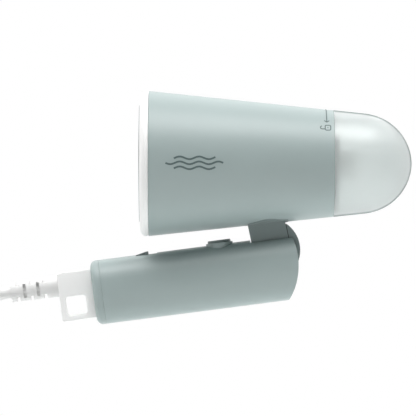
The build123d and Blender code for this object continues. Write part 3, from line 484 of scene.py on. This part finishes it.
# ---------------------------------------------------------------- head
class STEAMER_OT_bezel(Operator):
    """Turn the white bezel: a quarter ellipse from its face to its side, and a hollow back"""
    bl_idname = "steamer.bezel"
    bl_label = "Front bezel"

    def execute(self, context):
        lip = context.scene.steamer_sizes.bezel_lip / MM
        a = np.linspace(0, pi / 2, 14)[:, None]
        round_off = np.hstack([BEZEL_X + lip * (1 - np.cos(a)),
                               BEZEL_FACE_R + (FRONT_R - BEZEL_FACE_R) * np.sin(a)])
        back = rounded([(SEAM_X - 0.15, FRONT_R), (SEAM_X - 0.15, 41.6), (-21.0, 41.2), (-21.0, 39.4),
                        (-30.0, 39.4), (-30.0, BEZEL_BORE_R), (BEZEL_X + 0.2, BEZEL_BORE_R)],
                       [0.2, 0.3, 0.3, 0.3, 0.1, 0.1, 0.35], 4)
        ring = lattice("bezel_ring", turned(np.vstack([round_off, back])), "head", FINISH["white_plastic"],
                       loop_u=True)
        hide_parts("front_bezel")
        return {"FINISHED"}


def dome(inset, steps=44):
    """Tank wall from its tip to its rim: past the bend a superellipse, whose start keeps the taper and loses
    it by a square law; before the bend the straight taper."""
    a = np.linspace(0, pi / 2, steps)
    long, tall = TIP_X - BEND_X - inset, head_r(BEND_X) - inset
    along = long * np.cos(a) ** (2 / DOME_POWER)
    r = tall * np.sin(a) ** (2 / DOME_POWER) - TAPER * along * (1 - along / long) ** 2
    r[0] = 0
    front = TANK_X + 0.05
    return np.vstack([np.stack([BEND_X + along, r], -1), [(BEND_X - 9, head_r(BEND_X - 9) - inset)],
                      [(front + 0.25, head_r(front) - inset)]])


class STEAMER_OT_tank(Operator):
    """Blow the clear tank: an outer and an inner dome joined by a rounded rim"""
    bl_idname = "steamer.tank"
    bl_label = "Water tank"

    def execute(self, context):
        outer, inner = dome(0), dome(TANK_WALL)
        rim = rounded([(TANK_X + 1, head_r(TANK_X)), (TANK_X + 0.05, head_r(TANK_X)),
                       (TANK_X + 0.05, head_r(TANK_X) - TANK_WALL), (TANK_X + 1, head_r(TANK_X) - TANK_WALL)],
                      [0, 0.25, 0.25, 0], 4)[1:-1]
        tank = lattice("tank_wall", turned(np.vstack([outer, rim, inner[::-1]])), "tank",
                       FINISH["clear_tank"])
        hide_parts("water_tank")
        return {"FINISHED"}


class STEAMER_OT_saddle(Operator):
    """Lay the thin saddle on the housing where the neck enters it: its half width swells by a power of a
    sine between its two ends, and its edges run out to the cone"""
    bl_idname = "steamer.saddle"
    bl_label = "Neck saddle"

    def execute(self, context):
        x = np.linspace(SADDLE_X, SADDLE_FAR_X, 41)[:, None]
        share = (x - SADDLE_X) / (SADDLE_FAR_X - SADDLE_X)
        reach = 10.2 + 4.6 * np.sin(pi * share ** 0.9) ** 1.5      # half width, measured round the cone
        across = np.linspace(-1, 1, 33)[None]
        arc = (reach * across) / head_r(x) - pi / 2
        edge = np.minimum(1, 14 * (1 - np.abs(across))) * np.minimum(1, (x - SADDLE_X) / SADDLE_TAPER)
        edge = edge * np.minimum(1, (SADDLE_FAR_X - x) / SADDLE_TAPER)
        layers = [np.stack([x + 0 * arc, -r * np.cos(arc), HEAD_Z + r * np.sin(arc)], -1)
                  for r in (head_r(x) + 0.3 * edge, head_r(x) - 0.5 + 0 * edge)]
        grid = np.concatenate([layers[0], layers[1][:, ::-1]], 1)
        # darker sage on the saddle: painted shade where the neck meets the housing
        lattice("neck_saddle", grid, "head", FINISH["deep_sage_plastic"], caps=True)
        return {"FINISHED"}


class STEAMER_OT_rib(Operator):
    """Fill the seam between the neck and its shield with a dark rib: a bar in the neck's own directions"""
    bl_idname = "steamer.rib"
    bl_label = "Shield rib"

    def execute(self, context):
        out = np.array((cos(NECK_LEAN), 0, sin(NECK_LEAN)))
        up = np.array((-sin(NECK_LEAN), 0, cos(NECK_LEAN)))
        pivot = PIVOT_S * ALONG + PIVOT_T * ABOVE
        corners = ((RIB_IN, -RIB_HALF), (RIB_OUT, -RIB_HALF), (RIB_OUT, RIB_HALF), (RIB_IN, RIB_HALF))
        bar = [[pivot + m * up + n * out + y * ACROSS for n, y in corners] for m in (-RIB_LONG, RIB_LONG)]
        lattice("shield_rib", np.array(bar), "head", FINISH["dark_plastic"], caps=True)
        return {"FINISHED"}


class STEAMER_OT_marks(Operator):
    """Print the marks: three wavy steam lines, and the arrow and open padlock beside the tank"""
    bl_idname = "steamer.marks"
    bl_label = "Printed marks"

    def execute(self, context):
        line = context.scene.steamer_sizes.mark_line / MM
        for number, (start, stop) in enumerate(((-12.0, 13.0), (-17.0, 17.7), (-12.0, 13.0))):
            x = np.linspace(start, stop, 120)
            arc = WAVE_GAP * (number - 1) + WAVE_RISE * np.sin(2 * pi * (x - 0.3) / WAVE_LONG)
            self.mark(f"steam_line_{number}", np.stack([x, arc], -1), 1.6 * line)
        turn = np.radians(np.linspace(ARROW_TAIL, ARROW_TIP, 40))
        self.mark("arrow_shaft", np.stack([ARROW_X + 0 * turn, turn * head_r(ARROW_X)], -1), line)
        point = radians(ARROW_TIP) * head_r(ARROW_X)
        across = np.linspace(-ARROW_BARB, ARROW_BARB, 5)
        self.mark("arrow_head", np.stack([ARROW_X + across, point + np.abs(across)], -1), line)
        middle = radians(LOCK_AT) * head_r(LOCK_X)
        self.mark("padlock_body", box_outline(LOCK_X, middle, 1.65, 1.95, 0.8), line, closed=True)
        a = np.linspace(-pi / 2, -1.45 * pi, 20)
        bow = np.stack([BOW_X + BOW_R * np.cos(a), middle + 0.15 + BOW_R * np.sin(a)], -1)
        self.mark("padlock_bow", np.vstack([[(79.3, middle - 1.0), (78.4, middle - 1.0)], bow]), line)
        a = np.linspace(0, 2 * pi, 16, endpoint=False)
        self.mark("padlock_hole", np.stack([LOCK_X + 0.18 * np.cos(a), middle + 0.18 * np.sin(a)], -1),
                  0.34, closed=True)
        return {"FINISHED"}

    def mark(self, name, points, width, closed=False):
        """Lay one printed line on the housing."""
        lattice(name, ribbon(points, width, closed), "head", FINISH["ink"], loop_u=closed,
                caps=not closed)


# ---------------------------------------------------------------- handle
class STEAMER_OT_end_cap(Operator):
    """Mould the handle's end cap: the handle's own section, rounded over to a flat end"""
    bl_idname = "steamer.end_cap"
    bl_label = "End cap"

    def execute(self, context):
        a = np.linspace(0, pi / 2, 9)
        inset = np.r_[2.2, 0.25, 0.05, 0.0, CAP_ROUND * (1 - np.cos(a))]
        s = np.r_[CAP_S + np.array([0.28, 0.28, 0.18, 0.0]), CAP_END_S + CAP_ROUND * (1 - np.sin(a))]
        grid = np.array([on_grip(at, *squircle(i).T) for at, i in zip(s, inset)])
        cap = lattice("end_cap", grid, "handle", FINISH["sage_plastic"], caps=True)
        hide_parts("handle_end_cap")
        return {"FINISHED"}


class STEAMER_OT_loop(Operator):
    """Mould the hanging loop: a pierced plate with soft edges"""
    bl_idname = "steamer.loop"
    bl_label = "Hanging loop"

    def execute(self, context):
        middle, half = (LOOP_NEAR_S + LOOP_FAR_S) / 2, (LOOP_NEAR_S - LOOP_FAR_S) / 2
        grid = pierced((middle, 0.0, half, LOOP_HALF_T, 1.6), (*LOOP_HOLE, 2.2), LOOP_HALF_Y, 0.7,
                       lambda g: on_grip(g[..., 0], g[..., 2], g[..., 1]))
        loop = lattice("hanging_loop", grid, "handle", FINISH["white_plastic"], loop_u=True)
        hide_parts("cord_loop")
        return {"FINISHED"}


def oval(long, wide, t, steps=96):
    """Ellipse round the trigger's centre at t above the handle's axis."""
    a = np.linspace(0, 2 * pi, steps, endpoint=False)
    return on_grip(TRIGGER_S + long * np.cos(a), wide * np.sin(a), t)


class STEAMER_OT_trigger(Operator):
    """Mould the steam trigger, a dished oval button, and the ring that it sinks into"""
    bl_idname = "steamer.trigger"
    bl_label = "Steam trigger"

    def execute(self, context):
        a = np.linspace(0, pi / 2, 6)
        e = 0.5
        rows = [(0, 15.4)] + list(zip(e * (1 - np.cos(a)), TRIGGER_TOP - e + e * np.sin(a)))
        rows += [(shrink, TRIGGER_TOP - 0.4 * ((shrink - e) / 6.5) ** 0.7)       # the dish
                 for shrink in np.linspace(1.2, 6.9, 9)]
        grid = np.array([oval(TRIGGER_LONG - i, TRIGGER_WIDE - i, t) for i, t in rows])
        # darker sage on the button: painted shade on the trigger under the head
        button = lattice("trigger_cap", grid, "trigger", FINISH["deep_sage_plastic"],
                         caps=True)
        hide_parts("trigger_button")
        e, top = 0.35, 20.7
        out = [(1.2 - e * (1 - np.cos(b)), top - e + e * np.sin(b)) for b in a]
        back = [(0.3 + e * (1 - np.cos(b)), top - e + e * np.sin(b)) for b in a[::-1]]
        grid = np.array([oval(TRIGGER_LONG + g, TRIGGER_WIDE + g, t)
                         for g, t in [(1.2, 15.6), *out, *back, (0.3, 15.6)]])
        ring = lattice("trigger_collar", grid, "handle", FINISH["sage_plastic"], loop_u=True)
        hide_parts("trigger_ring")
        return {"FINISHED"}


# ---------------------------------------------------------------- stage
CAMERA_AWAY, SEEN_WIDTH = 2.5, 0.2538     # metres
FLOOR_RINGS, FLOOR_STEPS = (0.02, 0.2, 0.4, 0.55), 96
LIGHT_TOP = 6.5               # what a ramp value of 1 stands for
LIGHT_SHARE = 1.18            # overall strength of the tent
# brightness of the tent at angles above the horizon, in degrees
FRONT_LIGHT = ((-90, 1.0), (-35, 1.0), (-10, 0.55), (5, 0.02), (40, 0.02), (52, 1.4), (60, 4.2), (68, 6.3),
               (82, 4.0), (90, 3.0))
BACK_LIGHT = ((-90, 0.9), (-10, 1.0), (8, 0.9), (22, 0.7), (38, 1.6), (52, 1.2), (70, 0.3), (90, 1.5))


class STEAMER_OT_stage(Operator):
    """Pale floor, soft studio light and the camera, level with the steamer's side"""
    bl_idname = "steamer.stage"
    bl_label = "Stage"

    def execute(self, context):
        scene = context.scene
        scene.view_settings.view_transform = "Standard"
        lens = bpy.data.cameras.new("camera")
        lens.type, lens.sensor_width = "PERSP", 36.0
        lens.lens = lens.sensor_width * CAMERA_AWAY / SEEN_WIDTH
        lens.clip_start, lens.clip_end = 0.1, 50
        camera = bpy.data.objects.new("camera", lens)
        camera.location = (0.00854, -CAMERA_AWAY, 0.0439)
        camera.rotation_euler = (pi / 2, 0, 0)
        scene.collection.objects.link(camera)
        scene.camera = camera

        a = np.linspace(0, 2 * pi, FLOOR_STEPS, endpoint=False)
        r = np.array(FLOOR_RINGS)[:, None]
        low = CAD_BOX[0].z - 0.0003
        ring = np.stack([r * np.cos(a), r * np.sin(a), low + 0 * r * a], -1)
        mesh = bpy.data.meshes.new("floor")
        faces = quads_of(len(FLOOR_RINGS), FLOOR_STEPS) + [list(range(FLOOR_STEPS))]
        mesh.from_pydata(ring.reshape(-1, 3).tolist(), [], faces)
        # even and matt: takes the shadow and shows nothing of its own
        mesh.materials.append(finish_of("floor_pale", linear("#E2E4E4"), 0.7, 0.004, 0.02))
        floor = bpy.data.objects.new("floor", mesh)
        scene.collection.objects.link(floor)

        world = bpy.data.worlds.new("studio")
        world.use_nodes = True
        scene.world = world
        tree = world.node_tree
        tree.nodes.clear()
        # a white tent: a bright panel high in front, a dim band level with the eye, a lit lower edge
        way = add(tree, "ShaderNodeTexCoord").outputs["Generated"]
        axes = add(tree, "ShaderNodeSeparateXYZ", {"Vector": way})
        rise = add(tree, "ShaderNodeMath", {0: axes.outputs["Z"]}, operation="ARCSINE").outputs[0]
        level = add(tree, "ShaderNodeMapRange", {"Value": rise, "From Min": -pi / 2, "From Max": pi / 2})
        sides = []
        for stops in (FRONT_LIGHT, BACK_LIGHT):
            ramp = add(tree, "ShaderNodeValToRGB", {"Fac": level.outputs["Result"]})
            ramp.color_ramp.elements.remove(ramp.color_ramp.elements[1])
            for number, (angle, value) in enumerate(stops):
                at = angle / 180 + 0.5
                stop = ramp.color_ramp.elements.new(at) if number else ramp.color_ramp.elements[0]
                stop.position, stop.color = at, (value / LIGHT_TOP,) * 3 + (1,)
            sides.append(ramp.outputs["Color"])
        turn = add(tree, "ShaderNodeMapRange", {"Value": axes.outputs["Y"], "From Min": -0.12,
                                                "From Max": 0.12})
        glow = add(tree, "ShaderNodeMix", {0: turn.outputs["Result"], 6: sides[0], 7: sides[1]},
                   data_type="RGBA").outputs[2]
        lit = add(tree, "ShaderNodeBackground", {"Color": glow, "Strength": LIGHT_TOP * LIGHT_SHARE})
        seen = add(tree, "ShaderNodeBackground", {"Color": (1, 1, 1, 1), "Strength": 1.0})
        path = add(tree, "ShaderNodeLightPath").outputs["Is Camera Ray"]
        both = add(tree, "ShaderNodeMixShader", {0: path, 1: lit.outputs[0], 2: seen.outputs[0]})
        add(tree, "ShaderNodeOutputWorld", {"Surface": both.outputs[0]})
        light = bpy.data.lights.new("softbox", "AREA")
        light.energy, light.shape, light.size = 0.3, "SQUARE", 0.5
        lamp = bpy.data.objects.new("softbox", light)
        lamp.location = (0.05, -0.45, 0.95)
        lamp.rotation_euler = (Vector((0, 0, 0.05)) - lamp.location).to_track_quat("-Z", "Y").to_euler()
        scene.collection.objects.link(lamp)
        return {"FINISHED"}


class STEAMER_PT_panel(Panel):
    """Lists the steps that build the steamer's looks"""
    bl_label = "Folding Steamer"
    bl_idname = "STEAMER_PT_panel"
    bl_space_type = "VIEW_3D"
    bl_region_type = "UI"
    bl_category = "Steamer"

    def draw(self, context):
        for group in (context.scene.steamer_sizes, context.scene.steamer_colours):
            for name in group.__annotations__:
                self.layout.prop(group, name)
        for step in STEPS:
            self.layout.operator(step.bl_idname)


STEPS = (STEAMER_OT_finishes, STEAMER_OT_plug, STEAMER_OT_tie, STEAMER_OT_cord, STEAMER_OT_bezel,
         STEAMER_OT_tank, STEAMER_OT_saddle, STEAMER_OT_rib, STEAMER_OT_marks, STEAMER_OT_end_cap,
         STEAMER_OT_loop, STEAMER_OT_trigger, STEAMER_OT_stage)
CLASSES = (SteamerSizes, SteamerColours, *STEPS, STEAMER_PT_panel)


def register():
    for cls in CLASSES:
        bpy.utils.register_class(cls)
    bpy.types.Scene.steamer_sizes = PointerProperty(type=SteamerSizes)
    bpy.types.Scene.steamer_colours = PointerProperty(type=SteamerColours)


def unregister():
    del bpy.types.Scene.steamer_sizes, bpy.types.Scene.steamer_colours
    for cls in reversed(CLASSES):
        bpy.utils.unregister_class(cls)


def main():
    register()
    for step in STEPS:
        group, name = step.bl_idname.split(".")
        getattr(getattr(bpy.ops, group), name)()
    bpy.context.view_layer.update()


if __name__ == "__main__":
    main()
